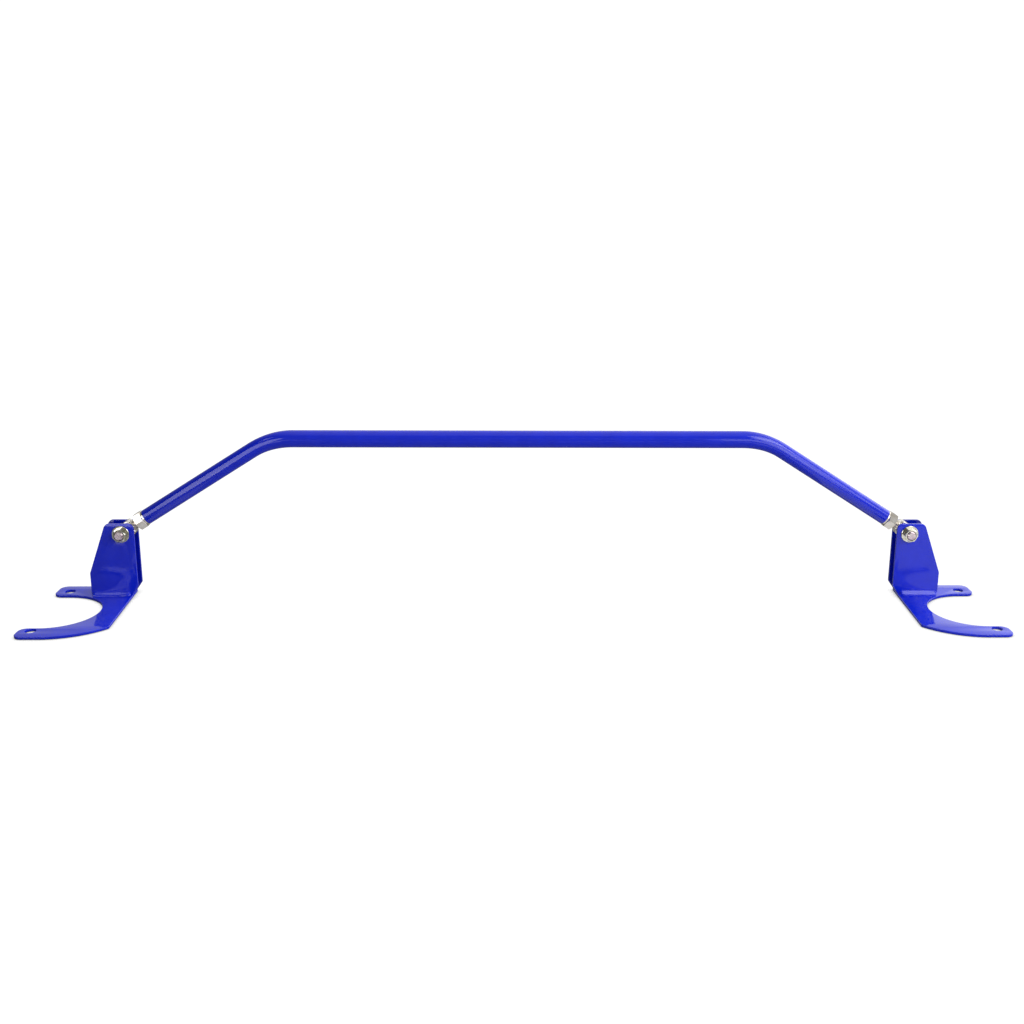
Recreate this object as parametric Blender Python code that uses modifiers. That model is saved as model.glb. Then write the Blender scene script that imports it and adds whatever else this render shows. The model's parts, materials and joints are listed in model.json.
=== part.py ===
"""Strut tower brace: a bent steel tube between two strut-top brackets, with a threaded eye at each end.

Units are metres and +Z is up. X runs along the bar with the right-hand end at +X, Y runs from the object's
front (-Y) to its rear, and Z = 0 is the underside of both base plates. Sizes are given for the right-hand
end. The left-hand end is its mirror image in X, so each outline's x is multiplied by the side, +1 or -1.
"""

import math

import bmesh
import bpy
from mathutils import Vector

SIDES = {"left": -1, "right": 1}
OBJECT_NAME = "strut_tower_brace"

# Gap left between separate pieces that touch on the real object.
GAP = 0.0003
# Longest turn between two points of an arc.
ARC_STEP = math.radians(9)
ROUND_SEGMENTS = 28
# Edges that turn more than this stay sharp on round pieces.
SHARP_ANGLE = math.radians(40)
# Points of a turned profile this near the axis become one.
AXIS_MERGE = 0.00001
EMPTY_SIZE = 0.02

# Pivot: the axis of the bolt that joins the eye to the bracket. It runs along Y.
PIVOT_X = 0.4597
PIVOT_Y = 0.0600
PIVOT_Z = 0.0775

# Bent tube. Its middle run is level, and each arm points straight at its pivot.
BAR_Z = 0.1886
BEND_X = 0.2845
BEND_RADIUS = 0.0880
TUBE_RADIUS = 0.0100
ARM_RADIUS = 0.0090
TUBE_WALL = 0.0015
TUBE_BEVEL_STEPS = 10
BEND_STEPS = 8
ARM_SLOPE = math.atan2(BAR_Z - PIVOT_Z, PIVOT_X - BEND_X)

# Along the arm, measured from the pivot towards the tube.
JAM_NUT_START = 0.0209
JAM_NUT_HEIGHT = 0.0100
JAM_NUT_FLATS = 0.0190
JAM_NUT_TURN = {"left": math.radians(31.0), "right": math.radians(32.0)}
INSERT_FLANGE_START = JAM_NUT_START + JAM_NUT_HEIGHT + GAP
INSERT_FLANGE_THICKNESS = 0.0014
INSERT_FLANGE_RADIUS = 0.0088
INSERT_LENGTH = 0.0300
TUBE_END = INSERT_FLANGE_START + INSERT_FLANGE_THICKNESS + GAP
SHANK_RADIUS = 0.0060
SHANK_END = 0.0730
SHANK_CHAMFER = 0.0012

# Eye, with a steel bush that is clamped between the cheeks.
EYE_RADIUS = 0.0088
EYE_WIDTH = 0.0132
EYE_HEAD_END = 0.0145
EYE_HEAD_ROUND = 0.0025
NECK_RADIUS = 0.0066
NECK_START = 0.0100
NECK_END = 0.0165
BUSH_RADIUS = 0.0064

# Clevis: two equal cheeks standing on the base plate.
SHEET = 0.0030
CLEVIS_GAP = 0.0140
CHEEK_INBOARD_X = 0.4450
CHEEK_TOP_Z = 0.0895
CHEEK_TOP_OUTBOARD_X = 0.4775
CHEEK_OUTBOARD_X = 0.4992
CHEEK_KINK_Z = 0.0295
CHEEK_FOOT_Z = SHEET + GAP
CHEEK_CHAMFER_X = 0.4520
CHEEK_CHAMFER_Z = 0.0130
CHEEK_TOP_ROUND = 0.0065
CHEEK_KINK_ROUND = 0.0060
CHEEK_FOOT_ROUND = 0.0030

# Base plate: a C whose two ears carry the stud holes and whose mouth opens outboard.
FRONT_EAR_TIP_X = 0.5420
REAR_EAR_TIP_X = 0.5435
EAR_ROUND = 0.0090
PLATE_REAR_Y = 0.0795
PLATE_FRONT_Y = -0.0795
MOUTH_X = 0.5240
MOUTH_Y = -0.0026
MOUTH_RADIUS = 0.0513
FRONT_ARC_X = 0.5150
FRONT_CORNER_X = 0.4483
FRONT_CORNER_Y = -0.0484
FRONT_CORNER_ROUND = 0.0030
REAR_CORNER_X = 0.4520
REAR_CORNER_CHAMFER = 0.0090
STUD_X = 0.5283
STUD_Y = 0.0616
STUD_HOLE_RADIUS = 0.0060

# Pivot fasteners: an M10 bolt from the rear, with a washer at each cheek and a nut in front.
BOLT_RADIUS = 0.0050
BOLT_HEAD_FLATS = 0.0140
BOLT_HEAD_HEIGHT = 0.0064
BOLT_END_BEYOND_NUT = 0.0020
NUT_FLATS = 0.0140
NUT_HEIGHT = 0.0060
NUT_TURN = {"left": math.radians(15), "right": 0.0}
WASHER_RADIUS = 0.0100
WASHER_THICKNESS = 0.0020

BLUE_COAT = ("blue_powder_coat", (0.010, 0.018, 0.560), 0.22, 0.0)
BRIGHT_ZINC = ("bright_zinc", (0.780, 0.770, 0.740), 0.30, 1.0)
YELLOW_ZINC = ("yellow_zinc", (0.620, 0.560, 0.420), 0.32, 1.0)


def clear_scene():
    for obj in list(bpy.data.objects):
        bpy.data.objects.remove(obj, do_unlink=True)


def make_collection(name):
    collection = bpy.data.collections.new(name)
    bpy.context.scene.collection.children.link(collection)
    return collection


def make_material(name, colour, roughness, metallic):
    material = bpy.data.materials.new(name)
    material.use_nodes = True
    shader = material.node_tree.nodes["Principled BSDF"]
    shader.inputs["Base Color"].default_value = (*colour, 1.0)
    shader.inputs["Roughness"].default_value = roughness
    shader.inputs["Metallic"].default_value = metallic
    return material


def place(obj, collection, parent=None, location=(0, 0, 0), rotation=(0, 0, 0)):
    """Links the object and sets it in its parent's frame."""
    collection.objects.link(obj)
    obj.parent = parent
    obj.location = location
    obj.rotation_euler = rotation
    return obj


def make_empty(name, collection, location, rotation=(0, 0, 0)):
    empty = bpy.data.objects.new(name, None)
    empty.empty_display_size = EMPTY_SIZE
    return place(empty, collection, location=location, rotation=rotation)


def arc(centre, radius, start, end):
    """Points on an arc from one angle to another, both ends included."""
    steps = max(2, math.ceil(abs(end - start) / ARC_STEP - 1e-6))
    angles = [start + (end - start) * step / steps for step in range(steps + 1)]
    return [(centre[0] + radius * math.cos(a), centre[1] + radius * math.sin(a)) for a in angles]


def rounded(corners):
    """An outline from corners of (x, y, radius), with each corner of non-zero radius rounded by an arc."""
    outline = []
    for index, (x, y, radius) in enumerate(corners):
        corner = Vector((x, y))
        if radius == 0:
            outline.append((x, y))
            continue
        back = (Vector(corners[index - 1][:2]) - corner).normalized()
        ahead = (Vector(corners[(index + 1) % len(corners)][:2]) - corner).normalized()
        half = back.angle(ahead) / 2
        centre = corner + (back + ahead).normalized() * radius / math.sin(half)
        first = corner + back * radius / math.tan(half) - centre
        start = math.atan2(first.y, first.x)
        turn = math.pi - 2 * half
        if back.cross(ahead) > 0:
            turn = -turn
        outline += arc(centre, radius, start, start + turn)
    return outline


def circle(radius, x=0.0, y=0.0, segments=ROUND_SEGMENTS, turn=0.0):
    angles = [turn + math.tau * step / segments for step in range(segments)]
    return [(x + radius * math.cos(a), y + radius * math.sin(a)) for a in angles]


def hexagon(flats, turn):
    return circle(flats / 2 / math.cos(math.pi / 6), segments=6, turn=turn)


def mirrored(outline, side):
    return [(side * x, y) for x, y in outline]


def flat_piece(name, outlines, thickness, material, smooth=True):
    """A filled outline, with holes where later outlines lie inside it, centred on its own XY plane."""
    curve = bpy.data.curves.new(name, "CURVE")
    curve.dimensions = "2D"
    curve.fill_mode = "BOTH"
    curve.extrude = thickness / 2
    for outline in outlines:
        spline = curve.splines.new("POLY")
        spline.points.add(len(outline) - 1)
        for point, (x, y) in zip(spline.points, outline):
            point.co = (x, y, 0, 1)
        spline.use_cyclic_u = True
        spline.use_smooth = smooth
    curve.materials.append(material)
    return bpy.data.objects.new(name, curve)


def mesh_object(name, build, material):
    """A mesh object whose bmesh is filled by build."""
    mesh = bpy.data.meshes.new(name)
    shape = bmesh.new()
    build(shape)
    shape.to_mesh(mesh)
    shape.free()
    mesh.materials.append(material)
    return bpy.data.objects.new(name, mesh)


def shade_round(obj):
    obj.data.shade_smooth()
    obj.data.set_sharp_from_angle(angle=SHARP_ANGLE)


def prism(name, radius, length, material, segments=ROUND_SEGMENTS):
    """A cylinder, or a hexagonal prism with six segments, centred on its own Z axis."""

    def build(shape):
        bmesh.ops.create_cone(
            shape, cap_ends=True, segments=segments, radius1=radius, radius2=radius, depth=length
        )

    return mesh_object(name, build, material)


def block(name, outline, length, material):
    """An outline in the XY plane made into a mesh solid, centred on that plane."""

    def build(shape):
        foot = shape.faces.new([shape.verts.new((x, y, -length / 2)) for x, y in outline])
        made = bmesh.ops.extrude_face_region(shape, geom=[foot])["geom"]
        top = [item for item in made if isinstance(item, bmesh.types.BMVert)]
        bmesh.ops.translate(shape, vec=(0, 0, length), verts=top)
        bmesh.ops.recalc_face_normals(shape, faces=shape.faces)

    return mesh_object(name, build, material)


def turned(name, profile, material, closed_ring):
    """A profile of (radius, z) points, running down its outer side, turned about its own Z axis."""

    def build(shape):
        points = [shape.verts.new((radius, 0, z)) for radius, z in profile]
        pairs = list(zip(points, points[1:]))
        if closed_ring:
            pairs.append((points[-1], points[0]))
        for pair in pairs:
            shape.edges.new(pair)

    obj = mesh_object(name, build, material)
    screw = obj.modifiers.new("turn", "SCREW")
    screw.steps = ROUND_SEGMENTS
    screw.render_steps = ROUND_SEGMENTS
    screw.use_merge_vertices = True
    screw.merge_threshold = AXIS_MERGE
    return obj


def boolean(obj, operation, other):
    """Joins or cuts with a helper object, which isn't a piece of its own."""
    modifier = obj.modifiers.new(operation.lower(), "BOOLEAN")
    modifier.operation = operation
    modifier.solver = "EXACT"
    modifier.object = other
    other.hide_render = True
    other.display_type = "WIRE"


def tube_axis():
    """The tube's axis as (x, z, radius) points from its left end to its right end."""
    tangent = BEND_RADIUS * math.tan(ARM_SLOPE / 2)
    centre = (BEND_X - tangent, BAR_Z - BEND_RADIUS)
    right = []
    for step in range(BEND_STEPS + 1):
        share = step / BEND_STEPS
        angle = math.pi / 2 - ARM_SLOPE * share
        x = centre[0] + BEND_RADIUS * math.cos(angle)
        z = centre[1] + BEND_RADIUS * math.sin(angle)
        right.append((x, z, TUBE_RADIUS + (ARM_RADIUS - TUBE_RADIUS) * share))
    end_x = PIVOT_X - TUBE_END * math.cos(ARM_SLOPE)
    end_z = PIVOT_Z + TUBE_END * math.sin(ARM_SLOPE)
    right.append((end_x, end_z, ARM_RADIUS))
    left = [(-x, z, radius) for x, z, radius in reversed(right)]
    return left + right


def make_bar_tube(collection, material):
    """The tube is a bevelled curve, made a mesh so that Solidify can give it its wall."""
    curve = bpy.data.curves.new("bar_axis", "CURVE")
    curve.dimensions = "3D"
    curve.bevel_depth = TUBE_RADIUS
    curve.bevel_resolution = TUBE_BEVEL_STEPS
    axis = tube_axis()
    spline = curve.splines.new("POLY")
    spline.points.add(len(axis) - 1)
    for point, (x, z, radius) in zip(spline.points, axis):
        point.co = (x, 0, z, 1)
        point.radius = radius / TUBE_RADIUS
    guide = place(bpy.data.objects.new("bar_axis", curve), collection, location=(0, PIVOT_Y, 0))
    bpy.context.view_layer.update()
    graph = bpy.context.evaluated_depsgraph_get()
    mesh = bpy.data.meshes.new_from_object(guide.evaluated_get(graph))
    tube = bpy.data.objects.new("bar_tube", mesh)
    collection.objects.link(tube)
    tube.matrix_world = guide.matrix_world
    bpy.data.objects.remove(guide, do_unlink=True)
    mesh.materials.clear()
    mesh.materials.append(material)
    wall = tube.modifiers.new("wall", "SOLIDIFY")
    wall.thickness = TUBE_WALL
    wall.offset = -1
    shade_round(tube)


def make_insert(name, collection, parent, material):
    """The threaded plug in the tube's end, with a flange that the jam nut locks against."""
    start = INSERT_FLANGE_START
    step = start + INSERT_FLANGE_THICKNESS
    end = step + INSERT_LENGTH
    bore = SHANK_RADIUS + GAP
    body = ARM_RADIUS - TUBE_WALL - GAP
    profile = [(body, end), (body, step), (INSERT_FLANGE_RADIUS, step), (INSERT_FLANGE_RADIUS, start)]
    profile += [(bore, start), (bore, end)]
    insert = turned(name, profile, material, closed_ring=True)
    shade_round(insert)
    place(insert, collection, parent)


def make_jam_nut(name, collection, parent, turn, material):
    outlines = [hexagon(JAM_NUT_FLATS, turn), circle(SHANK_RADIUS + GAP)]
    nut = flat_piece(name, outlines, JAM_NUT_HEIGHT, material, smooth=False)
    place(nut, collection, parent, (0, 0, JAM_NUT_START + JAM_NUT_HEIGHT / 2))


def make_eye(name, collection, helpers, parent, material):
    """A straight-sided head, round about the pivot, with a neck and a threaded shank along the arm."""
    corners = [(EYE_RADIUS, EYE_HEAD_END, EYE_HEAD_ROUND), (-EYE_RADIUS, EYE_HEAD_END, EYE_HEAD_ROUND)]
    corners += [(x, z, 0) for x, z in arc((0, 0), EYE_RADIUS, math.pi, math.tau)]
    head = block(name, rounded(corners), EYE_WIDTH, material)
    place(head, collection, parent, rotation=(math.pi / 2, 0, 0))
    profile = [(0, SHANK_END), (SHANK_RADIUS - SHANK_CHAMFER, SHANK_END)]
    profile += [(SHANK_RADIUS, SHANK_END - SHANK_CHAMFER), (SHANK_RADIUS, NECK_END)]
    profile += [(NECK_RADIUS, EYE_HEAD_END), (NECK_RADIUS, NECK_START), (0, NECK_START)]
    shank = place(turned(name + "_shank", profile, material, closed_ring=False), helpers, parent)
    bore = prism(name + "_bore", BUSH_RADIUS + GAP, 2 * EYE_WIDTH, material)
    place(bore, helpers, parent, rotation=(math.pi / 2, 0, 0))
    boolean(head, "UNION", shank)
    boolean(head, "DIFFERENCE", bore)
    shade_round(head)


def cheek_outline():
    """The cheek in the XZ plane, measured from the pivot."""
    corners = [
        (CHEEK_INBOARD_X, CHEEK_CHAMFER_Z, CHEEK_FOOT_ROUND),
        (CHEEK_INBOARD_X, CHEEK_TOP_Z, CHEEK_TOP_ROUND),
        (CHEEK_TOP_OUTBOARD_X, CHEEK_TOP_Z, CHEEK_TOP_ROUND),
        (CHEEK_OUTBOARD_X, CHEEK_KINK_Z, CHEEK_KINK_ROUND),
        (CHEEK_OUTBOARD_X, CHEEK_FOOT_Z, CHEEK_FOOT_ROUND),
        (CHEEK_CHAMFER_X, CHEEK_FOOT_Z, 0),
    ]
    return [(x - PIVOT_X, z - PIVOT_Z) for x, z in rounded(corners)]


def plate_outline():
    """The base plate in the XY plane, measured from the object's centre."""
    mouth = arc((MOUTH_X, MOUTH_Y), MOUTH_RADIUS, math.pi / 2, 3 * math.pi / 2)
    across, along = FRONT_ARC_X - FRONT_CORNER_X, FRONT_CORNER_Y - PLATE_FRONT_Y
    front_radius = (across**2 + along**2) / (2 * along)
    reach = math.acos(-across / front_radius)
    front = arc((FRONT_ARC_X, PLATE_FRONT_Y + front_radius), front_radius, -math.pi / 2, -reach)
    corners = [(REAR_EAR_TIP_X, MOUTH_Y + MOUTH_RADIUS, EAR_ROUND)]
    corners += [(x, y, 0) for x, y in mouth]
    corners += [(FRONT_EAR_TIP_X, y, EAR_ROUND) for y in (MOUTH_Y - MOUTH_RADIUS, PLATE_FRONT_Y)]
    corners += [(x, y, 0) for x, y in front[:-1]]
    corners += [
        (*front[-1], FRONT_CORNER_ROUND),
        (REAR_CORNER_X, PLATE_REAR_Y - REAR_CORNER_CHAMFER, 0),
        (REAR_CORNER_X + REAR_CORNER_CHAMFER, PLATE_REAR_Y, 0),
        (REAR_EAR_TIP_X, PLATE_REAR_Y, EAR_ROUND),
    ]
    return rounded(corners)


def make_base_plate(name, collection, pivot, side, material):
    holes = [circle(STUD_HOLE_RADIUS, STUD_X, y) for y in (-STUD_Y, STUD_Y)]
    outlines = [mirrored(outline, side) for outline in [plate_outline(), *holes]]
    plate = flat_piece(name, outlines, SHEET, material)
    place(plate, collection, pivot, Vector((0, 0, SHEET / 2)) - pivot.location)


def make_clevis(prefix, collection, helpers, pivot, side, nut_turn, materials):
    """The cheeks, the bush between them, and the bolt, washers and nut that clamp them."""
    along_y = (math.pi / 2, 0, 0)
    hole = circle(BOLT_RADIUS + GAP)
    washer_outlines = [circle(WASHER_RADIUS), hole]
    cheek_centre = CLEVIS_GAP / 2 + SHEET / 2
    washer_centre = cheek_centre + SHEET / 2 + GAP + WASHER_THICKNESS / 2
    seat = washer_centre + WASHER_THICKNESS / 2 + GAP
    for end, way in (("front", -1), ("rear", 1)):
        outlines = [mirrored(cheek_outline(), side), hole]
        cheek = flat_piece(prefix + end + "_cheek", outlines, SHEET, materials["blue"])
        place(cheek, collection, pivot, (0, way * cheek_centre, 0), along_y)
        washer = flat_piece(prefix + end + "_washer", washer_outlines, WASHER_THICKNESS, materials["yellow"])
        place(washer, collection, pivot, (0, way * washer_centre, 0), along_y)

    bush_outlines = [circle(BUSH_RADIUS), hole]
    bush = flat_piece(prefix + "eye_bush", bush_outlines, CLEVIS_GAP - 2 * GAP, materials["bright"])
    place(bush, collection, pivot, rotation=along_y)

    nut_outlines = [hexagon(NUT_FLATS, nut_turn), hole]
    nut = flat_piece(prefix + "pivot_nut", nut_outlines, NUT_HEIGHT, materials["yellow"], smooth=False)
    place(nut, collection, pivot, (0, -seat - NUT_HEIGHT / 2, 0), along_y)

    head_radius = BOLT_HEAD_FLATS / 2 / math.cos(math.pi / 6)
    head = prism(prefix + "pivot_bolt", head_radius, BOLT_HEAD_HEIGHT, materials["yellow"], segments=6)
    place(head, collection, pivot, (0, seat + BOLT_HEAD_HEIGHT / 2, 0), along_y)
    front_end = -seat - NUT_HEIGHT - BOLT_END_BEYOND_NUT
    inside_head = seat + BOLT_HEAD_HEIGHT / 2
    shank = prism(prefix + "bolt_shank", BOLT_RADIUS, inside_head - front_end, materials["yellow"])
    place(shank, helpers, pivot, (0, (inside_head + front_end) / 2, 0), along_y)
    boolean(head, "UNION", shank)
    shade_round(head)


def main():
    clear_scene()
    pieces = make_collection(OBJECT_NAME)
    helpers = make_collection(OBJECT_NAME + "_helpers")
    materials = {
        "blue": make_material(*BLUE_COAT),
        "bright": make_material(*BRIGHT_ZINC),
        "yellow": make_material(*YELLOW_ZINC),
    }
    make_bar_tube(pieces, materials["blue"])
    for name, side in SIDES.items():
        prefix = name + "_"
        at_pivot = (side * PIVOT_X, PIVOT_Y, PIVOT_Z)
        towards_tube = (0, -side * (math.pi / 2 - ARM_SLOPE), 0)
        arm_axis = make_empty(prefix + "arm_axis", pieces, at_pivot, towards_tube)
        pivot = make_empty(prefix + "pivot", pieces, at_pivot)
        make_insert(prefix + "threaded_insert", pieces, arm_axis, materials["bright"])
        make_jam_nut(prefix + "jam_nut", pieces, arm_axis, JAM_NUT_TURN[name], materials["bright"])
        make_eye(prefix + "eye_end", pieces, helpers, arm_axis, materials["bright"])
        make_base_plate(prefix + "base_plate", pieces, pivot, side, materials["blue"])
        make_clevis(prefix, pieces, helpers, pivot, side, NUT_TURN[name], materials)


main()
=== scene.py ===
# Looks of the strut tower brace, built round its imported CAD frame. Metres, +Z up. Sizes are those of the
# right-hand end (+X); the left-hand end is its mirror image. Each side's pivot and arm direction come from
# the frame's joints, and every detailed piece stands in the place of the CAD node that it replaces.
import json
import math

import bmesh
import bpy
from mathutils import Matrix, Vector, noise


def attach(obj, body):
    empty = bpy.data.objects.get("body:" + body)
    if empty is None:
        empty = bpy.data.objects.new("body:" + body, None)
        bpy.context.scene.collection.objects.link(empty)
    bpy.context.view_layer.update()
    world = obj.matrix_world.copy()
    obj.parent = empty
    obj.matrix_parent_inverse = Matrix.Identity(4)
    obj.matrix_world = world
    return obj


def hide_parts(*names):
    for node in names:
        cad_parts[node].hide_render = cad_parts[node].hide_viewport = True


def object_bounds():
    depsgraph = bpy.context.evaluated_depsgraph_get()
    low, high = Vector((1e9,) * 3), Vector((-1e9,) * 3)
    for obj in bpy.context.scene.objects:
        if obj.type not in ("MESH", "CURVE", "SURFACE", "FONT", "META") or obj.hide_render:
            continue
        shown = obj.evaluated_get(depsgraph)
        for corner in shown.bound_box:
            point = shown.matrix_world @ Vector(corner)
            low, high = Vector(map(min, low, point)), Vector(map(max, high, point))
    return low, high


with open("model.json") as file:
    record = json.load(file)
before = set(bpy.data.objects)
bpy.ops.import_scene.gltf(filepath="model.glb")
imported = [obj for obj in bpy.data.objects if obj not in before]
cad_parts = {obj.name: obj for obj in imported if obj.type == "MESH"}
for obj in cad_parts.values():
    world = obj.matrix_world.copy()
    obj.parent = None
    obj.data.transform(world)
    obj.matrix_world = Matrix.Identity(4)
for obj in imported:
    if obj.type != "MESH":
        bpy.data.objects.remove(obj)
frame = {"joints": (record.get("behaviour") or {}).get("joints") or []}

cad_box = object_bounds()
joints = {joint["name"]: joint for joint in frame["joints"]}

SIDES = {"left": -1, "right": 1}

# Bent tube
BAR_Z = 0.1886
BEND_X = 0.2845
BEND_RADIUS = 0.0880
TUBE_RADIUS = 0.009998
ARM_RADIUS = 0.0090
TUBE_WALL = 0.0015
TUBE_END = 0.0329
TUBE_LIP = 0.0004
TUBE_SEGMENTS = 72
BEND_STEPS = 24

# Pieces along the arm, measured from the pivot towards the tube
JAM_NUT_START = 0.0209
JAM_NUT_HEIGHT = 0.0100
JAM_NUT_FLATS = 0.0190
JAM_NUT_TURN = {"left": math.radians(31.0), "right": math.radians(32.0)}
FLANGE_START = 0.0309
FLANGE_RADIUS = 0.0088
INSERT_END = 0.0626
M12_RADIUS = 0.0059
M12_PITCH = 0.00175
SHANK_END = 0.0730
EYE_RADIUS = 0.0088
EYE_WIDTH = 0.0132
EYE_HEAD_END = 0.0145
NECK_RADIUS = 0.0066
NECK_END = 0.0165
BUSH_RADIUS = 0.0064

# Bracket sheets
SHEET = 0.0030
SHEET_ROUND = 0.00045
CLEVIS_GAP = 0.0140
CHEEK_CORNERS = [
    (0.4450, 0.0130, 0.0030),
    (0.4450, 0.0895, 0.0065),
    (0.4775, 0.0895, 0.0065),
    (0.4992, 0.0295, 0.0060),
    (0.4992, 0.0030, 0.0015),
    (0.4520, 0.0030, 0.0015),
]
FRONT_EAR_TIP_X = 0.5420
REAR_EAR_TIP_X = 0.5435
EAR_ROUND = 0.0090
PLATE_HALF_Y = 0.0795
MOUTH = (0.5240, -0.0026)
MOUTH_RADIUS = 0.0513
FRONT_ARC_X = 0.5150
FRONT_CORNER = (0.4483, -0.0484)
REAR_CORNER_X = 0.4520
REAR_CHAMFER = 0.0090
STUD = (0.5283, 0.0616)
STUD_HOLE_RADIUS = 0.0060

# Pivot fasteners
M10_RADIUS = 0.0049
M10_PITCH = 0.0015
BOLT_HOLE_RADIUS = 0.0053
WASHER_RADIUS = 0.0100
WASHER_THICKNESS = 0.0022
NUT_FLATS = 0.0140
NUT_HEIGHT = 0.0062
NUT_TURN = {"left": math.radians(15), "right": 0.0}
HEAD_HEIGHT = 0.0066
BOLT_END_BEYOND_NUT = 0.0020

ARC_STEP = math.radians(2.5)
THREAD_DEPTH = 0.55  # of the pitch, on a screw
CONE_START = 0.955  # of half the width across flats, where a hexagon's chamfer begins
FLOOR_GAP = 0.0004


# ---------------------------------------------------------------- mesh helpers

def smooth_mesh(name, shape, sharp_degrees=35.0):
    """A mesh datablock from a bmesh, shaded smooth except across sharp edges."""
    bmesh.ops.recalc_face_normals(shape, faces=shape.faces)
    mesh = bpy.data.meshes.new(name)
    shape.to_mesh(mesh)
    shape.free()
    mesh.shade_smooth()
    mesh.set_sharp_from_angle(angle=math.radians(sharp_degrees))
    return mesh


def rings_mesh(name, rings, closed=False, sharp_degrees=35.0):
    """A skin over rings of points, joined end to end if closed and capped if not."""
    shape = bmesh.new()
    rows = [[shape.verts.new(point) for point in ring] for ring in rings]
    pairs = list(zip(rows, rows[1:]))
    if closed:
        pairs.append((rows[-1], rows[0]))
    for first, second in pairs:
        for index in range(len(first)):
            following = (index + 1) % len(first)
            shape.faces.new((first[index], first[following], second[following], second[index]))
    if not closed:
        shape.faces.new(list(reversed(rows[0])))
        shape.faces.new(rows[-1])
    return smooth_mesh(name, shape, sharp_degrees)


def turned_rings(profile, segments=64):
    """Rings about Z from (radius, z) points."""
    angles = [math.tau * step / segments for step in range(segments)]
    return [[Vector((r * math.cos(a), r * math.sin(a), z)) for a in angles] for r, z in profile]


def thread_depth(share):
    """Depth of a screw thread as a share of its full depth, at a share of one turn of its helix."""
    return min(1.0, max(0.0, 1.55 * abs(2.0 * share - 1.0) - 0.2))


def thread_rings(radius, depth, pitch, start, end, segments=48, steps_a_pitch=10):
    """Rings of a helical thread: depth below the radius for a screw, or a negative one for a nut."""
    count = max(2, round((end - start) / pitch * steps_a_pitch))
    rings = []
    for step in range(count + 1):
        z = start + (end - start) * step / count
        ring = []
        for index in range(segments):
            turn = index / segments
            cut = depth * thread_depth((z / pitch - turn) % 1.0)
            angle = math.tau * turn
            reach = radius - cut
            ring.append(Vector((reach * math.cos(angle), reach * math.sin(angle), z)))
        rings.append(ring)
    return rings


def hex_radius(angle, flats):
    """Distance from a hexagon's centre to its side, with a corner at angle 0."""
    across = angle % (math.pi / 3) - math.pi / 6
    return flats / 2 / math.cos(across)


def hex_ring(flats, turn, level, drop_side, segments=96):
    """The hexagon's edge at one end, where a 30 degree cone takes the corners down by drop_side."""
    cone_start = flats / 2 * CONE_START
    ring = []
    for index in range(segments):
        angle = math.tau * index / segments
        radius = hex_radius(angle, flats)
        drop = max(0.0, radius - cone_start) * math.tan(math.radians(30))
        ring.append(Vector((radius * math.cos(angle + turn), radius * math.sin(angle + turn),
                            level - drop_side * drop)))
    return ring


def circle_ring(radius, level, turn, segments=96):
    angles = [math.tau * index / segments + turn for index in range(segments)]
    return [Vector((radius * math.cos(a), radius * math.sin(a), level)) for a in angles]


def hex_outside(flats, low, high, turn):
    """Rings over the outside of a chamfered hexagon, from its low face to its high one."""
    cone_start = flats / 2 * CONE_START
    return [
        circle_ring(cone_start, low, turn),
        hex_ring(flats, turn, low, -1),
        hex_ring(flats, turn, high, 1),
        circle_ring(cone_start, high, turn),
    ]


def nut_mesh(name, flats, height, bore, pitch, turn):
    """A chamfered hexagon nut from z = 0 to its height, with a countersunk, threaded bore."""
    sink = 0.0007
    rings = hex_outside(flats, 0.0, height, turn)
    rings.append(circle_ring(bore + sink, height, turn))
    inner = thread_rings(bore, -THREAD_DEPTH * pitch / 2, pitch, sink, height - sink,
                         segments=96, steps_a_pitch=8)
    rings += [rotated(ring, turn) for ring in reversed(inner)]
    rings.append(circle_ring(bore + sink, 0.0, turn))
    return rings_mesh(name, rings, closed=True, sharp_degrees=24.0)


def rotated(ring, turn):
    spin = Matrix.Rotation(turn, 3, "Z")
    return [spin @ point for point in ring]


def arc(centre, radius, start, end):
    """Points on an arc from one angle to another, both ends included."""
    steps = max(2, math.ceil(abs(end - start) / ARC_STEP - 1e-6))
    angles = [start + (end - start) * step / steps for step in range(steps + 1)]
    return [(centre[0] + radius * math.cos(a), centre[1] + radius * math.sin(a)) for a in angles]


def rounded(corners):
    """An outline from corners of (x, y, radius), where an arc rounds each one with a radius."""
    outline = []
    for index, (x, y, radius) in enumerate(corners):
        corner = Vector((x, y))
        if radius == 0:
            outline.append((x, y))
            continue
        back = (Vector(corners[index - 1][:2]) - corner).normalized()
        ahead = (Vector(corners[(index + 1) % len(corners)][:2]) - corner).normalized()
        half = back.angle(ahead) / 2
        centre = corner + (back + ahead).normalized() * radius / math.sin(half)
        first = corner + back * radius / math.tan(half) - centre
        start = math.atan2(first.y, first.x)
        turn = math.pi - 2 * half
        if back.cross(ahead) > 0:
            turn = -turn
        outline += arc(centre, radius, start, start + turn)
    return outline


def circle(radius, x=0.0, y=0.0, segments=96):
    angles = [math.tau * step / segments for step in range(segments)]
    return [(x + radius * math.cos(a), y + radius * math.sin(a)) for a in angles]


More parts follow.
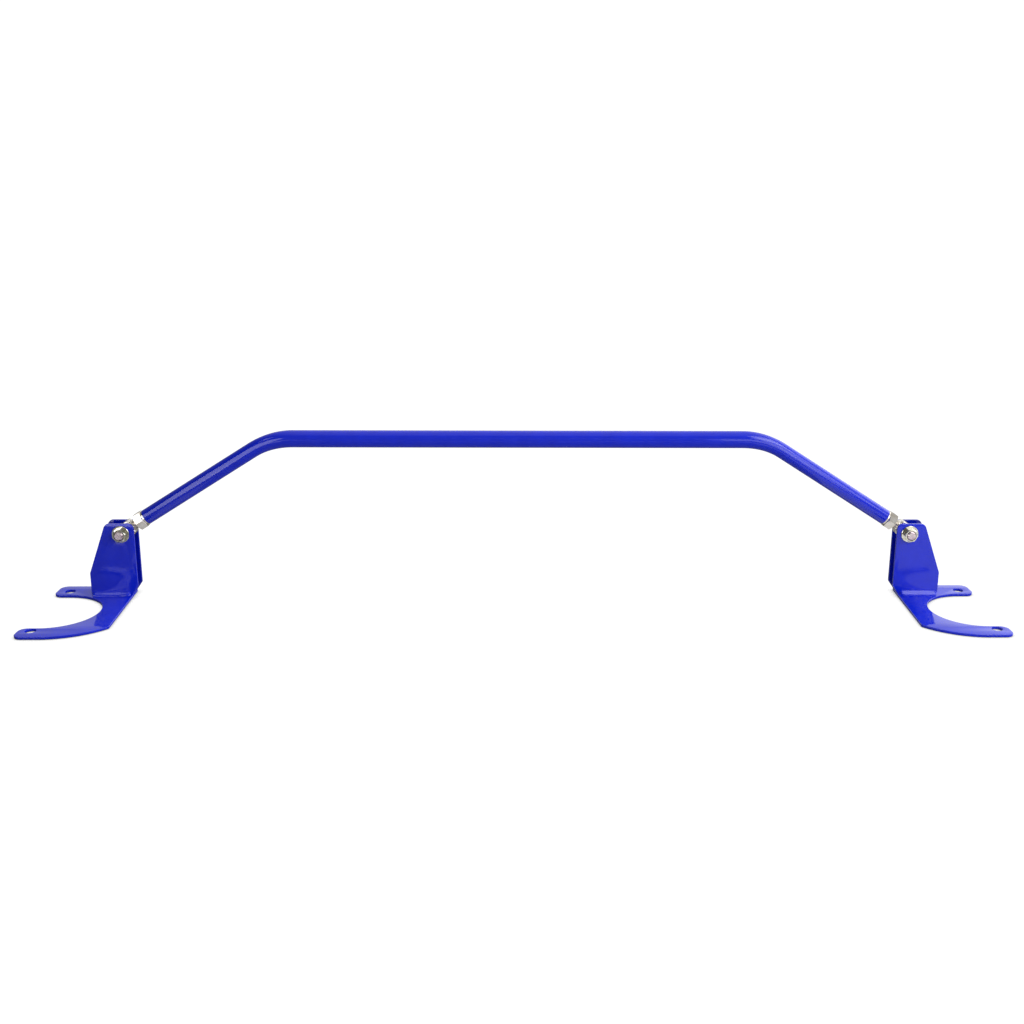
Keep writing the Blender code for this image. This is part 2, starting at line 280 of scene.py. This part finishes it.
def sheet_mesh(name, outlines, thickness, edge_round, matrix):
    """A cut sheet with rounded edges: a filled 2D curve made a mesh, then set in place by matrix."""
    curve = bpy.data.curves.new(name, "CURVE")
    curve.dimensions = "2D"
    curve.fill_mode = "BOTH"
    curve.extrude = thickness / 2 - edge_round
    curve.bevel_depth = edge_round
    curve.bevel_resolution = 3
    curve.offset = -edge_round
    for outline in outlines:
        spline = curve.splines.new("POLY")
        spline.points.add(len(outline) - 1)
        for point, (x, y) in zip(spline.points, outline):
            point.co = (x, y, 0, 1)
        spline.use_cyclic_u = True
    holder = bpy.data.objects.new(name, curve)
    bpy.context.scene.collection.objects.link(holder)
    bpy.context.view_layer.update()
    graph = bpy.context.evaluated_depsgraph_get()
    filled = bpy.data.meshes.new_from_object(holder.evaluated_get(graph))
    bpy.data.objects.remove(holder, do_unlink=True)
    bpy.data.curves.remove(curve)
    shape = bmesh.new()
    shape.from_mesh(filled)
    bpy.data.meshes.remove(filled)
    bmesh.ops.remove_doubles(shape, verts=shape.verts, dist=1e-6)
    bmesh.ops.transform(shape, matrix=matrix, verts=shape.verts)
    return smooth_mesh(name, shape, 30.0)


def add_piece(name, mesh, material, body, nodes=()):
    """Puts the mesh in the scene as a piece that rides on a body and stands for the CAD nodes."""
    piece = bpy.data.objects.new(name, mesh)
    bpy.context.scene.collection.objects.link(piece)
    mesh.materials.clear()
    mesh.materials.append(material)
    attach(piece, body)
    if nodes:
        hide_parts(*nodes)
    return piece


# ---------------------------------------------------------------- materials

def node_tools(name):
    """A new material's Principled shader, with short ways to add and link nodes."""
    material = bpy.data.materials.new(name)
    material.use_nodes = True
    tree = material.node_tree
    shader = tree.nodes["Principled BSDF"]
    place = tree.nodes.new("ShaderNodeTexCoord").outputs["Object"]

    def add(kind, **settings):
        node = tree.nodes.new(kind)
        for key, value in settings.items():
            if hasattr(node, key):
                setattr(node, key, value)
            else:
                node.inputs[key.replace("_", " ")].default_value = value
        return node

    def noise_at(scale, detail=2.0, roughness=0.5, stretch=None):
        texture = add("ShaderNodeTexNoise", Scale=scale, Detail=detail, Roughness=roughness)
        source = place
        if stretch:
            mapping = add("ShaderNodeMapping")
            mapping.inputs["Scale"].default_value = stretch
            tree.links.new(place, mapping.inputs["Vector"])
            source = mapping.outputs["Vector"]
        tree.links.new(source, texture.inputs["Vector"])
        return texture.outputs["Fac"]

    def ramp(factor, stops):
        node = add("ShaderNodeValToRGB")
        elements = node.color_ramp.elements
        while len(elements) < len(stops):
            elements.new(0.5)
        for element, (position, colour) in zip(elements, stops):
            element.position = position
            element.color = (*colour, 1.0)
        tree.links.new(factor, node.inputs["Fac"])
        return node.outputs["Color"]

    def spread(factor, low, high):
        node = add("ShaderNodeMapRange")
        for socket, value in (("From Min", 0.3), ("From Max", 0.7), ("To Min", low), ("To Max", high)):
            node.inputs[socket].default_value = value
        tree.links.new(factor, node.inputs["Value"])
        return node.outputs["Result"]

    def bump(height, distance, after=None):
        node = add("ShaderNodeBump", Distance=distance, Strength=1.0)
        tree.links.new(height, node.inputs["Height"])
        if after is not None:
            tree.links.new(after, node.inputs["Normal"])
        return node.outputs["Normal"]

    def join(output, socket):
        tree.links.new(output, shader.inputs[socket])

    return material, shader, noise_at, ramp, spread, bump, join


def powder_coat():
    """Gloss blue powder coat: smooth clear skin with faint orange peel and slight changes of depth."""
    material, shader, noise_at, ramp, spread, bump, join = node_tools("blue_powder_coat")
    shader.inputs["IOR"].default_value = 1.52
    stops = [(0.30, (0.0025, 0.0170, 0.66)), (0.70, (0.0040, 0.0220, 0.74))]
    join(ramp(noise_at(60, 3.0), stops), "Base Color")
    join(spread(noise_at(140, 2.0), 0.06, 0.11), "Roughness")
    peel = bump(noise_at(420, 2.0, 0.45), 0.000003)
    join(bump(noise_at(110, 1.0, 0.5), 0.000012, after=peel), "Normal")
    return material


def bright_zinc():
    """Bright zinc plate: pale steel with cloudy patches and fine marks."""
    material, shader, noise_at, ramp, spread, bump, join = node_tools("bright_zinc")
    shader.inputs["Metallic"].default_value = 1.0
    stops = [(0.30, (0.61, 0.56, 0.49)), (0.50, (0.69, 0.65, 0.59)), (0.72, (0.75, 0.73, 0.69))]
    join(ramp(noise_at(160, 3.0, 0.55), stops), "Base Color")
    join(spread(noise_at(500, 3.0), 0.16, 0.26), "Roughness")
    marks = bump(noise_at(900, 2.0, 0.6, stretch=(1.0, 1.0, 6.0)), 0.000006)
    join(bump(noise_at(260, 2.0), 0.00001, after=marks), "Normal")
    return material


def yellow_zinc():
    """Yellow passivated zinc: pale gold that drifts towards green and pink."""
    material, shader, noise_at, ramp, spread, bump, join = node_tools("yellow_zinc")
    shader.inputs["Metallic"].default_value = 1.0
    stops = [
        (0.28, (0.38, 0.40, 0.30)),
        (0.42, (0.62, 0.60, 0.48)),
        (0.56, (0.76, 0.75, 0.70)),
        (0.70, (0.46, 0.38, 0.28)),
    ]
    join(ramp(noise_at(190, 3.0, 0.55), stops), "Base Color")
    join(spread(noise_at(600, 3.0), 0.07, 0.15), "Roughness")
    join(bump(noise_at(700, 3.0, 0.6), 0.000004), "Normal")
    return material


def pink_zinc():
    """The bolt's passivation, which shows more pink and violet than the nut's."""
    material, shader, noise_at, ramp, spread, bump, join = node_tools("pink_zinc")
    shader.inputs["Metallic"].default_value = 1.0
    stops = [(0.30, (0.50, 0.40, 0.44)), (0.50, (0.66, 0.54, 0.59)), (0.70, (0.70, 0.64, 0.60))]
    join(ramp(noise_at(260, 3.0, 0.55), stops), "Base Color")
    join(spread(noise_at(600, 3.0), 0.22, 0.36), "Roughness")
    join(bump(noise_at(800, 3.0, 0.6), 0.000008), "Normal")
    return material


BLUE = powder_coat()
BRIGHT = bright_zinc()
YELLOW = yellow_zinc()
PINK = pink_zinc()


# ---------------------------------------------------------------- bar

def tube_stations(arm_slope, pivot):
    """(position, direction, radius) along the tube's axis from its left end to its right end."""
    tangent = BEND_RADIUS * math.tan(arm_slope / 2)
    centre = Vector((BEND_X - tangent, pivot.y, BAR_Z - BEND_RADIUS))
    right = []
    for step in range(BEND_STEPS + 1):
        share = step / BEND_STEPS
        angle = math.pi / 2 - arm_slope * share
        place = centre + BEND_RADIUS * Vector((math.cos(angle), 0, math.sin(angle)))
        radius = TUBE_RADIUS + (ARM_RADIUS - TUBE_RADIUS) * share * share * (3 - 2 * share)
        right.append((place, Vector((math.sin(angle), 0, -math.cos(angle))), radius))
    outward = Vector((math.cos(arm_slope), 0, -math.sin(arm_slope)))
    right.append((pivot - outward * TUBE_END, outward, ARM_RADIUS))
    left = [(Vector((-p.x, p.y, p.z)), Vector((d.x, 0, -d.z)), r) for p, d, r in reversed(right)]
    return left + right


def ring_about(place, direction, radius):
    across = Vector((0, 1, 0))
    up = direction.cross(across).normalized()
    angles = [math.tau * step / TUBE_SEGMENTS for step in range(TUBE_SEGMENTS)]
    return [place + radius * (math.cos(a) * across + math.sin(a) * up) for a in angles]


def make_tube():
    pivot = Vector(joints["right_bracket_pivot"]["pos_m"])
    axis = Vector(joints["right_eye_thread"]["axis"])
    stations = tube_stations(math.atan2(-axis.z, axis.x), pivot)
    outer = [ring_about(*station) for station in stations]
    inner = [ring_about(place, along, radius - TUBE_WALL) for place, along, radius in stations]
    lips = []
    for (place, along, radius), way in ((stations[0], 1), (stations[-1], -1)):
        steps = [math.radians(a) for a in (0, 30, 60, 90)]
        lips.append([
            ring_about(place + way * along * TUBE_LIP * (1 - math.sin(a)), along,
                       radius - TUBE_LIP * (1 - math.cos(a)))
            for a in steps
        ])
    rings = list(reversed(lips[0])) + outer[1:-1] + lips[1] + list(reversed(inner))
    mesh = rings_mesh("bar_tube_skin", rings, closed=True)
    add_piece("bar_tube_skin", mesh, BLUE, "bar", ["bar_tube"])


# ---------------------------------------------------------------- threaded ends

def arm_matrix(side, pivot):
    """From the arm's own frame, with Z from the pivot towards the tube and Y kept, to the row frame."""
    axis = -Vector(joints[f"{side}_eye_thread"]["axis"]).normalized()
    y = Vector((0, 1, 0))
    x = y.cross(axis)
    turn = Matrix((x, y, axis)).transposed().to_4x4()
    return Matrix.Translation(pivot) @ turn


def make_insert(side, to_arm):
    bore = M12_RADIUS + 0.0004
    body = ARM_RADIUS - TUBE_WALL
    edge = 0.0003
    profile = [
        (bore, FLANGE_START + edge), (bore + edge, FLANGE_START),
        (FLANGE_RADIUS - edge, FLANGE_START), (FLANGE_RADIUS, FLANGE_START + edge),
        (FLANGE_RADIUS, TUBE_END - 0.0001), (body - 0.00005, TUBE_END - 0.0001),
        (body - 0.00005, INSERT_END - 0.001), (body - 0.001, INSERT_END), (bore, INSERT_END),
    ]
    mesh = rings_mesh(f"{side}_insert", turned_rings(profile), closed=True)
    mesh.transform(to_arm)
    add_piece(f"{side}_insert", mesh, BRIGHT, "bar", [f"{side}_threaded_insert"])


def make_jam_nut(side, to_arm):
    mesh = nut_mesh(f"{side}_jam_nut_hex", JAM_NUT_FLATS, JAM_NUT_HEIGHT, M12_RADIUS + 0.0002,
                    M12_PITCH, JAM_NUT_TURN[side])
    mesh.transform(to_arm @ Matrix.Translation((0, 0, JAM_NUT_START)))
    add_piece(f"{side}_jam_nut_hex", mesh, BRIGHT, f"{side}_jam_nut",
              [f"{side}_jam_nut"])


def evaluated_mesh(holder):
    bpy.context.view_layer.update()
    graph = bpy.context.evaluated_depsgraph_get()
    mesh = bpy.data.meshes.new_from_object(holder.evaluated_get(graph))
    bpy.data.objects.remove(holder, do_unlink=True)
    return mesh


def forged_eye_mesh(name):
    """A straight-sided head, round about the pivot, melted into its neck and bored through along Y."""
    half = EYE_WIDTH / 2
    lay = Matrix.Rotation(math.pi / 2, 4, "X")
    corners = [(EYE_RADIUS, EYE_HEAD_END, 0.0028), (-EYE_RADIUS, EYE_HEAD_END, 0.0028)]
    corners += [(x, z, 0) for x, z in arc((0, 0), EYE_RADIUS, math.pi, math.tau)]
    head = sheet_mesh("head", [rounded(corners)], EYE_WIDTH, 0.0009, lay)
    flare = [(0.0005, 0.010), (NECK_RADIUS, 0.010), (NECK_RADIUS, EYE_HEAD_END + 0.0004),
             (M12_RADIUS, NECK_END), (0.0005, NECK_END)]
    neck = rings_mesh("neck", turned_rings(flare, 96))
    shape = bmesh.new()
    for part in (head, neck):
        shape.from_mesh(part)
        bpy.data.meshes.remove(part)
    melted = bpy.data.meshes.new(name)
    shape.to_mesh(melted)
    shape.free()
    holder = bpy.data.objects.new(name, melted)
    bpy.context.scene.collection.objects.link(holder)
    remesh = holder.modifiers.new("melt", "REMESH")
    remesh.mode = "VOXEL"
    remesh.voxel_size = 0.00033
    relax = holder.modifiers.new("relax", "SMOOTH")
    relax.factor = 0.5
    relax.iterations = 10
    mesh = evaluated_mesh(holder)
    bore = BUSH_RADIUS + 0.00015
    sink = 0.0006
    drill = [(bore + sink + 0.001, -half - 0.001), (bore, -half + sink), (bore, half - sink),
             (bore + sink + 0.001, half + 0.001)]
    tool = rings_mesh("tool", turned_rings(drill, 96))
    tool.transform(lay)
    cutter = bpy.data.objects.new("tool", tool)
    body = bpy.data.objects.new(name, mesh)
    for helper in (cutter, body):
        bpy.context.scene.collection.objects.link(helper)
    cut = body.modifiers.new("bore", "BOOLEAN")
    cut.operation = "DIFFERENCE"
    cut.object = cutter
    made = evaluated_mesh(body)
    bpy.data.objects.remove(cutter, do_unlink=True)
    made.shade_smooth()
    made.set_sharp_from_angle(angle=math.radians(38))
    return made


def make_eye(side, to_arm):
    eye = forged_eye_mesh(f"{side}_forged_eye")
    eye.transform(to_arm)
    add_piece(f"{side}_forged_eye", eye, BRIGHT, f"{side}_eye", [f"{side}_eye_end"])
    tip = 0.0012
    rings = thread_rings(M12_RADIUS, THREAD_DEPTH * M12_PITCH, M12_PITCH, NECK_END - 0.0004,
                         SHANK_END - tip)
    small = (M12_RADIUS - tip) / M12_RADIUS
    rings.append([Vector((p.x * small, p.y * small, SHANK_END)) for p in rings[-1]])
    shank = rings_mesh(f"{side}_threaded_shank", rings, sharp_degrees=50.0)
    shank.transform(to_arm)
    add_piece(f"{side}_threaded_shank", shank, BRIGHT, f"{side}_eye")


# ---------------------------------------------------------------- bracket

def plate_outline():
    mouth = arc(MOUTH, MOUTH_RADIUS, math.pi / 2, 3 * math.pi / 2)
    across, along = FRONT_ARC_X - FRONT_CORNER[0], FRONT_CORNER[1] + PLATE_HALF_Y
    front_radius = (across**2 + along**2) / (2 * along)
    reach = math.acos(-across / front_radius)
    front = arc((FRONT_ARC_X, front_radius - PLATE_HALF_Y), front_radius, -math.pi / 2, -reach)
    corners = [(REAR_EAR_TIP_X, MOUTH[1] + MOUTH_RADIUS, EAR_ROUND)]
    corners += [(x, y, 0) for x, y in mouth]
    corners += [(FRONT_EAR_TIP_X, y, EAR_ROUND) for y in (MOUTH[1] - MOUTH_RADIUS, -PLATE_HALF_Y)]
    corners += [(x, y, 0) for x, y in front[:-1]]
    corners += [
        (*front[-1], 0.0030),
        (REAR_CORNER_X, PLATE_HALF_Y - REAR_CHAMFER, 0.0015),
        (REAR_CORNER_X + REAR_CHAMFER, PLATE_HALF_Y, 0.0015),
        (REAR_EAR_TIP_X, PLATE_HALF_Y, EAR_ROUND),
    ]
    return rounded(corners)


def mirrored(outline, sign):
    return [(sign * x, y) for x, y in outline]


def make_plate(side, sign):
    holes = [circle(STUD_HOLE_RADIUS, STUD[0], y) for y in (-STUD[1], STUD[1])]
    outlines = [mirrored(outline, sign) for outline in [plate_outline(), *holes]]
    lift = Matrix.Translation((0, 0, SHEET / 2))
    mesh = sheet_mesh(f"{side}_plate_sheet", outlines, SHEET, SHEET_ROUND, lift)
    add_piece(f"{side}_plate_sheet", mesh, BLUE, f"{side}_bracket",
              [f"{side}_base_plate"])


def make_cheeks(side, sign, pivot):
    outline = [(sign * x - pivot.x, z - pivot.z) for x, z in rounded(CHEEK_CORNERS)]
    upright = Matrix.Rotation(math.pi / 2, 4, "X")
    for end, way in (("front", -1), ("rear", 1)):
        place = Matrix.Translation(pivot + Vector((0, way * (CLEVIS_GAP + SHEET) / 2, 0)))
        mesh = sheet_mesh(f"{side}_{end}_cheek_sheet", [outline, circle(BOLT_HOLE_RADIUS)], SHEET,
                          SHEET_ROUND, place @ upright)
        add_piece(f"{side}_{end}_cheek_sheet", mesh, BLUE, f"{side}_bracket",
                  [f"{side}_{end}_cheek"])


def weld_mesh(name, start_x, end_x, foot_y, way, leg, unevenness, seed):
    """A fillet bead along X where a cheek meets the plate, on the side that way points to."""
    steps, points = 90, 14
    ripple = 0.0021
    rings = []
    for step in range(steps + 1):
        share = step / steps
        x = start_x + (end_x - start_x) * share
        ends = math.sqrt(max(0.02, 1 - (2 * share - 1) ** 14))
        wave = noise.noise(Vector((x * 90, seed, 0))) * unevenness
        scallop = 0.008 * math.cos(math.tau * x / ripple)
        size = leg * ends * (1 + wave - scallop)
        ring = [Vector((x, foot_y, SHEET - 0.0004))]
        for index in range(points + 1):
            turn = math.pi / 2 * index / points
            sag = 0.20 + 0.5 * unevenness * noise.noise(Vector((x * 110, seed, 3)))
            hollow = 1 - sag * math.sin(2 * turn)
            out = size * math.cos(turn) * hollow
            up = size * math.sin(turn) * hollow
            ring.append(Vector((x, foot_y + way * out, SHEET - 0.0001 + up)))
        ring.append(Vector((x, foot_y - way * 0.0004, SHEET + size * 0.98)))
        rings.append(ring)
    return rings_mesh(name, rings, sharp_degrees=60.0)


def make_welds(side, sign, pivot):
    inner = CLEVIS_GAP / 2 + SHEET
    for end, way, seed in (("front", -1, 1.0), ("rear", 1, 7.0)):
        unevenness = 0.12 if (side, end) == ("left", "front") else 0.04
        ends = sorted((sign * 0.4535, sign * 0.4985))
        mesh = weld_mesh(f"{side}_{end}_weld", *ends, pivot.y + way * inner, way, 0.0050, unevenness,
                         seed + sign)
        add_piece(f"{side}_{end}_weld", mesh, BLUE, f"{side}_bracket")


# ---------------------------------------------------------------- pivot fasteners

def along_bolt(pivot, way, offset):
    """From a piece's own frame, with Z pointing away from the clevis, to the row frame."""
    turn = Matrix.Rotation(-way * math.pi / 2, 4, "X")
    return Matrix.Translation(pivot + Vector((0, way * offset, 0))) @ turn


def make_washers(side, pivot):
    seat = CLEVIS_GAP / 2 + SHEET
    edge = 0.0004
    inner = BOLT_HOLE_RADIUS
    profile = [
        (inner, edge), (inner, WASHER_THICKNESS - edge), (inner + edge, WASHER_THICKNESS),
        (WASHER_RADIUS - edge, WASHER_THICKNESS), (WASHER_RADIUS, WASHER_THICKNESS - edge),
        (WASHER_RADIUS, edge), (WASHER_RADIUS - edge, 0.0), (inner + edge, 0.0),
    ]
    for end, way in (("front", -1), ("rear", 1)):
        mesh = rings_mesh(f"{side}_{end}_washer_disc", turned_rings(profile, 96), closed=True)
        mesh.transform(along_bolt(pivot, way, seat))
        add_piece(f"{side}_{end}_washer_disc", mesh, YELLOW, f"{side}_bracket",
                  [f"{side}_{end}_washer"])


def make_bush(side, pivot):
    half = CLEVIS_GAP / 2 - 0.0001
    edge = 0.0004
    inner = BOLT_HOLE_RADIUS
    profile = [
        (inner, -half + edge), (inner, half - edge), (inner + edge, half), (BUSH_RADIUS - edge, half),
        (BUSH_RADIUS, half - edge), (BUSH_RADIUS, -half + edge), (BUSH_RADIUS - edge, -half),
        (inner + edge, -half),
    ]
    mesh = rings_mesh(f"{side}_bush_sleeve", turned_rings(profile, 72), closed=True)
    mesh.transform(Matrix.Translation(pivot) @ Matrix.Rotation(math.pi / 2, 4, "X"))
    add_piece(f"{side}_bush_sleeve", mesh, BRIGHT, f"{side}_bracket",
              [f"{side}_eye_bush"])


def make_pivot_nut(side, pivot):
    seat = CLEVIS_GAP / 2 + SHEET + WASHER_THICKNESS
    mesh = nut_mesh(f"{side}_pivot_nut_hex", NUT_FLATS, NUT_HEIGHT, M10_RADIUS + 0.0002, M10_PITCH,
                    NUT_TURN[side])
    mesh.transform(along_bolt(pivot, -1, seat))
    add_piece(f"{side}_pivot_nut_hex", mesh, YELLOW, f"{side}_bracket",
              [f"{side}_pivot_nut"])


def make_pivot_bolt(side, pivot):
    """Head behind the rear washer, plain shank through the bush and a thread that ends beyond the nut."""
    seat = CLEVIS_GAP / 2 + SHEET + WASHER_THICKNESS
    far = -seat - NUT_HEIGHT - BOLT_END_BEYOND_NUT
    thread_start = far + 0.020
    tip = 0.0009
    segments = 96
    rings = [turned_rings([(M10_RADIUS - tip, far)], segments)[0]]
    rings += thread_rings(M10_RADIUS, THREAD_DEPTH * M10_PITCH, M10_PITCH, far + tip, thread_start,
                          segments)
    rings += turned_rings([(M10_RADIUS, thread_start + 0.0006), (M10_RADIUS, seat)], segments)
    rings += hex_outside(NUT_FLATS, seat, seat + HEAD_HEIGHT, 0.0)
    dish = 0.0003
    rings += turned_rings([(0.0056, seat + HEAD_HEIGHT), (0.0052, seat + HEAD_HEIGHT - dish)], segments)
    mesh = rings_mesh(f"{side}_pivot_bolt_hex", rings, sharp_degrees=24.0)
    mesh.transform(along_bolt(pivot, 1, 0.0))
    add_piece(f"{side}_pivot_bolt_hex", mesh, PINK, f"{side}_bracket",
              [f"{side}_pivot_bolt"])


def make_object():
    make_tube()
    for side, sign in SIDES.items():
        pivot = Vector(joints[f"{side}_bracket_pivot"]["pos_m"])
        to_arm = arm_matrix(side, pivot)
        make_insert(side, to_arm)
        make_jam_nut(side, to_arm)
        make_eye(side, to_arm)
        make_plate(side, sign)
        make_cheeks(side, sign, pivot)
        make_welds(side, sign, pivot)
        make_washers(side, pivot)
        make_bush(side, pivot)
        make_pivot_nut(side, pivot)
        make_pivot_bolt(side, pivot)


# ---------------------------------------------------------------- studio

def make_floor():
    """A pale floor. The camera sees it only as the shade under the object, and it is clear from below,
    so that a bracket that swings under it still shows and is still lit."""
    floor_material = bpy.data.materials.new("studio_floor")
    floor_material.use_nodes = True
    tree = floor_material.node_tree
    shader = tree.nodes["Principled BSDF"]
    shader.inputs["Base Color"].default_value = (0.33, 0.33, 0.33, 1.0)
    shader.inputs["Roughness"].default_value = 0.9
    shader.inputs["Specular IOR Level"].default_value = 0.1
    seen = tree.nodes.new("ShaderNodeLightPath")
    gap = tree.nodes.new("ShaderNodeAmbientOcclusion")
    gap.inputs["Distance"].default_value = 0.012
    unshaded = tree.nodes.new("ShaderNodeMath")
    unshaded.operation = "MULTIPLY"
    tree.links.new(seen.outputs["Is Camera Ray"], unshaded.inputs[0])
    tree.links.new(gap.outputs["AO"], unshaded.inputs[1])
    clear = tree.nodes.new("ShaderNodeMath")
    clear.operation = "MAXIMUM"
    tree.links.new(unshaded.outputs["Value"], clear.inputs[0])
    tree.links.new(tree.nodes.new("ShaderNodeNewGeometry").outputs["Backfacing"], clear.inputs[1])
    mix = tree.nodes.new("ShaderNodeMixShader")
    tree.links.new(clear.outputs["Value"], mix.inputs["Fac"])
    tree.links.new(shader.outputs["BSDF"], mix.inputs[1])
    tree.links.new(tree.nodes.new("ShaderNodeBsdfTransparent").outputs["BSDF"], mix.inputs[2])
    tree.links.new(mix.outputs["Shader"], tree.nodes["Material Output"].inputs["Surface"])
    shape = bmesh.new()
    bmesh.ops.create_grid(shape, x_segments=1, y_segments=1, size=9.0)
    mesh = bpy.data.meshes.new("studio_floor")
    shape.to_mesh(mesh)
    shape.free()
    mesh.materials.append(floor_material)
    floor = bpy.data.objects.new("studio_floor", mesh)
    floor.location.z = cad_box[0].z - FLOOR_GAP
    bpy.context.scene.collection.objects.link(floor)


def make_world():
    """White surroundings: bright behind and above, dimmer in front, plain white to the camera."""
    world = bpy.data.worlds.new("studio")
    bpy.context.scene.world = world
    world.use_nodes = True
    tree = world.node_tree
    background = tree.nodes["Background"]
    place = tree.nodes.new("ShaderNodeTexCoord").outputs["Generated"]
    split = tree.nodes.new("ShaderNodeSeparateXYZ")
    tree.links.new(place, split.inputs["Vector"])

    def level(axis, low, high, start, end):
        node = tree.nodes.new("ShaderNodeMapRange")
        node.interpolation_type = "SMOOTHSTEP"
        for socket, value in (("From Min", low), ("From Max", high), ("To Min", start), ("To Max", end)):
            node.inputs[socket].default_value = value
        tree.links.new(split.outputs[axis], node.inputs["Value"])
        return node.outputs["Result"]

    def combine(operation, first, second):
        node = tree.nodes.new("ShaderNodeMath")
        node.operation = operation
        tree.links.new(first, node.inputs[0])
        tree.links.new(second, node.inputs[1])
        return node.outputs["Value"]

    around = combine("MAXIMUM", level("Y", -0.3, 0.5, 0.30, 1.05), level("Z", 0.65, 1.0, 0.0, 0.85))
    sides = combine("MULTIPLY", level("X", -0.8, 0.1, 0.20, 1.0), level("X", 0.2, 0.8, 1.0, 2.0))
    lit = combine("MULTIPLY", around, sides)
    seen = tree.nodes.new("ShaderNodeLightPath")
    choose = tree.nodes.new("ShaderNodeMix")
    choose.data_type = "FLOAT"
    tree.links.new(seen.outputs["Is Camera Ray"], choose.inputs["Factor"])
    tree.links.new(lit, choose.inputs["A"])
    choose.inputs["B"].default_value = 1.1
    tree.links.new(choose.outputs["Result"], background.inputs["Strength"])
    background.inputs["Color"].default_value = (1.0, 1.0, 1.0, 1.0)


def add_softbox(name, location, target, width, height, radiance, diffuse=True, glossy=True):
    light = bpy.data.lights.new(name, "AREA")
    light.shape = "RECTANGLE"
    light.size = width
    light.size_y = height
    light.energy = radiance * math.pi * width * height
    lamp = bpy.data.objects.new(name, light)
    lamp.location = location
    aim = Vector(target) - Vector(location)
    lamp.rotation_euler = aim.to_track_quat("-Z", "Y").to_euler()
    lamp.visible_camera = False
    lamp.visible_diffuse = diffuse
    lamp.visible_glossy = glossy
    bpy.context.scene.collection.objects.link(lamp)
    return lamp


def keep_out(lamp, pieces):
    """Keeps the lamp off pieces that stand in shade, or that it would burn out."""
    shaded = bpy.data.collections.new(f"out_of_{lamp.name}")
    for piece in pieces:
        shaded.objects.link(bpy.data.objects[piece])
    lamp.light_linking.receiver_collection = shaded
    for entry in shaded.collection_objects:
        entry.light_linking.link_state = "EXCLUDE"


def make_lights():
    key = add_softbox("key", (1.25, -0.80, 0.85), (0.20, 0.06, 0.10), 1.2, 1.0, 1.9)
    fill = add_softbox("fill", (0.35, -1.10, 0.62), (0.10, 0.06, 0.10), 1.0, 0.5, 3.3, glossy=False)
    add_softbox("left_box", (-1.13, -0.90, 0.36), (-0.40, 0.06, 0.13), 1.1, 0.85, 2.6, diffuse=False)
    add_softbox("left_card", (-0.82, -1.02, 0.002), (-0.82, -1.02, 1.0), 0.65, 1.2, 2.4, diffuse=False)
    add_softbox("right_top", (0.75, -0.30, 0.80), (0.47, 0.0, 0.0), 0.5, 0.4, 3.0, diffuse=False)
    add_softbox("left_top", (-0.75, -0.30, 0.80), (-0.47, 0.0, 0.0), 0.20, 0.14, 2.2, diffuse=False)
    add_softbox("right_box", (1.0, -1.5, 0.35), (0.35, 0.06, 0.15), 1.0, 0.7, 1.6, diffuse=False)
    add_softbox("right_card", (0.56, -0.17, 0.002), (0.56, -0.17, 1.0), 0.45, 0.5, 0.60, diffuse=False)
    add_softbox("left_nut_card", (-0.42, -0.03, 0.002), (-0.42, -0.03, 1.0), 0.12, 0.16, 0.36,
                diffuse=False)
    rear_cheeks = [f"{side}_rear_cheek_sheet" for side in SIDES]
    keep_out(key, ["right_jam_nut_hex", *rear_cheeks])
    keep_out(fill, rear_cheeks)


def make_camera():
    """The camera stands in front, a little above the bar, and looks slightly down."""
    data = bpy.data.cameras.new("camera")
    data.sensor_width = 36.0
    data.lens = 42.852
    data.shift_x = -0.0332
    data.shift_y = -0.0342
    data.clip_start = 0.05
    data.clip_end = 50.0
    camera = bpy.data.objects.new("camera", data)
    bpy.context.scene.collection.objects.link(camera)
    pitch, yaw, roll = (math.radians(angle) for angle in (14.81, 1.63, 0.48))
    level = Vector((math.sin(yaw), math.cos(yaw), 0))
    forward = level * math.cos(pitch) - Vector((0, 0, math.sin(pitch)))
    right = Vector((math.cos(yaw), -math.sin(yaw), 0))
    up = right.cross(forward)
    x_axis = math.cos(roll) * right + math.sin(roll) * up
    y_axis = -math.sin(roll) * right + math.cos(roll) * up
    turn = Matrix((x_axis, y_axis, -forward)).transposed().to_4x4()
    camera.matrix_world = Matrix.Translation((-0.0073, -1.3074, 0.5053)) @ turn
    bpy.context.scene.camera = camera


make_object()
make_floor()
make_world()
make_lights()
make_camera()
bpy.context.scene.view_settings.view_transform = "Standard"
